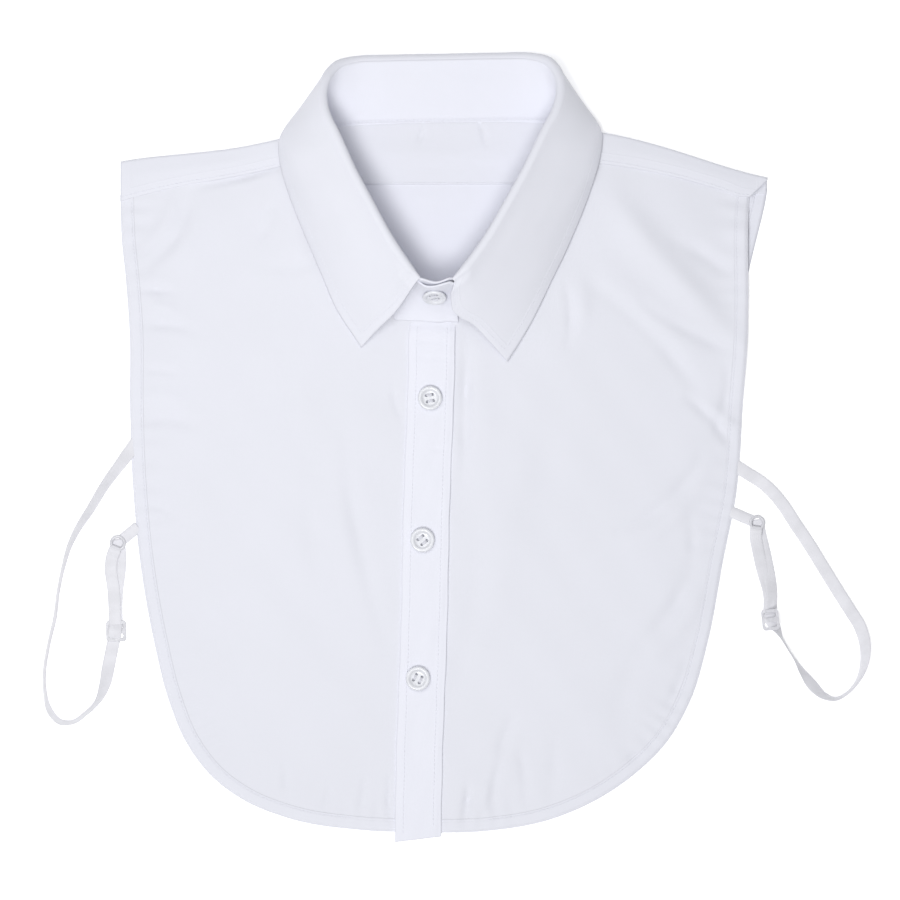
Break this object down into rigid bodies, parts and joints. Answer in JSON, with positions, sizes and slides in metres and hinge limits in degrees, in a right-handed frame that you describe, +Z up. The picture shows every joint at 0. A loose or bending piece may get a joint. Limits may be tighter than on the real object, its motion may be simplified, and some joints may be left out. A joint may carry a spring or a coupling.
{
  "type": "detachable shirt collar with bib, laid flat",
  "caption": "White poplin detachable shirt collar with a bib front and back, placket, clear buttons and adjustable elastic side straps, laid flat on its back.",
  "frame": {"origin": "bottom centre of the bounding box without the side straps, on the surface that the garment lies on", "axes": "+Z up from the surface, through the back and then the front; +Y from the hem towards the top of the collar; +X towards the wearer's left front, which is the viewer's right"},
  "size_m": [0.4305, 0.4119, 0.0316],
  "materials": {
    "poplin": "matt plain weave",
    "elastic": "narrow ribbed elastic with a slight sheen",
    "button": "clear to pearly gloss",
    "hardware": "clear plastic"
  },
  "bodies": {
    "root": {"back_panel": "poplin", "yoke": "poplin", "left_front": "poplin", "right_front": "poplin", "placket": "poplin", "collar_stand": "poplin", "collar_leaf": "poplin", "collar_button": "button", "placket_button_1": "button", "placket_button_2": "button", "placket_button_3": "button", "left_strap": "elastic", "left_strap_return": "elastic", "left_tab": "elastic", "left_ring": "hardware", "left_slider": "hardware", "right_strap": "elastic", "right_strap_return": "elastic", "right_tab": "elastic", "right_ring": "hardware", "right_slider": "hardware"}
  },
  "joints": []
}
